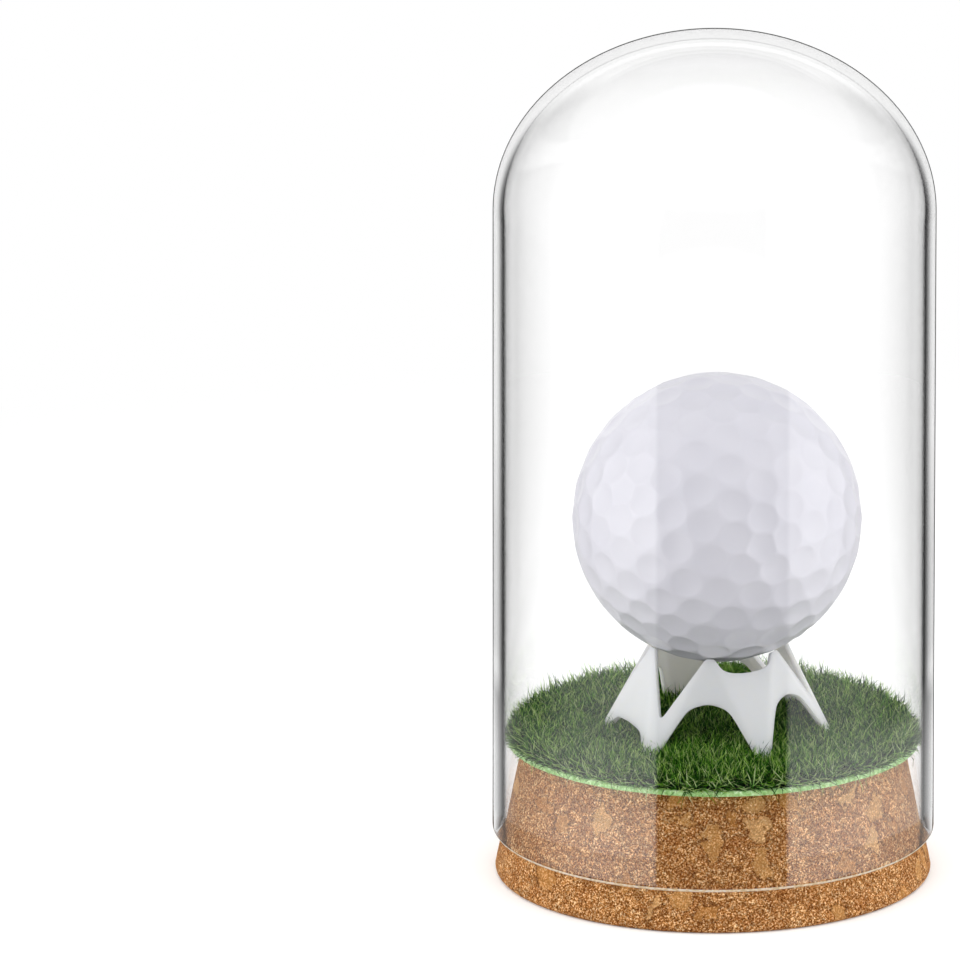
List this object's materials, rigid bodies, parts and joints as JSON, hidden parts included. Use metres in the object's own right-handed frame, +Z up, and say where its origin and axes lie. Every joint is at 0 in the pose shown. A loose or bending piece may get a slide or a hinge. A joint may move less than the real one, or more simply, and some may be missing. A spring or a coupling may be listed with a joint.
{
  "type": "golf ball display case",
  "caption": "Tall glass dome over a golf ball on a folded white stand, set in artificial turf on a tapered cork base.",
  "frame": {"origin": "centre of the flat underside of the cork base", "axes": "+Z up along the dome's axis, -Y towards the front that the picture shows, +X to its right"},
  "size_m": [0.065, 0.065, 0.1272],
  "materials": {
    "cork": "matte ground cork with dark specks",
    "adhesive": "thin adhesive sheet",
    "turf_backing": "bright green backing",
    "turf_pile": "fine green artificial grass",
    "stand_plastic": "soft matt white moulding",
    "ball_core": "solid rubber",
    "ball_cover": "satin white, dimpled",
    "glass": "clear blown glass, polished"
  },
  "bodies": {
    "base": {"cork_base": "cork", "turf_adhesive": "adhesive", "turf_backing": "turf_backing", "turf_pile_front_left": "turf_pile", "turf_pile_front_right": "turf_pile", "turf_pile_rear_left": "turf_pile", "turf_pile_rear_right": "turf_pile"},
    "stand": {"ball_stand": "stand_plastic"},
    "ball": {"ball_core": "ball_core", "ball_cover_upper": "ball_cover", "ball_cover_lower": "ball_cover"},
    "dome": {"glass_dome": "glass"}
  },
  "joints": [
    {"name": "dome_lift", "type": "slide", "parent": "base", "child": "dome", "axis": [0, 0, 1], "range_m": [0, 0.12]},
    {"name": "stand_lift", "type": "slide", "parent": "base", "child": "stand", "axis": [0, 0, 1], "range_m": [0, 0.015]},
    {"name": "ball_lift", "type": "slide", "parent": "stand", "child": "ball", "axis": [0, 0, 1], "range_m": [0, 0.03]}
  ]
}
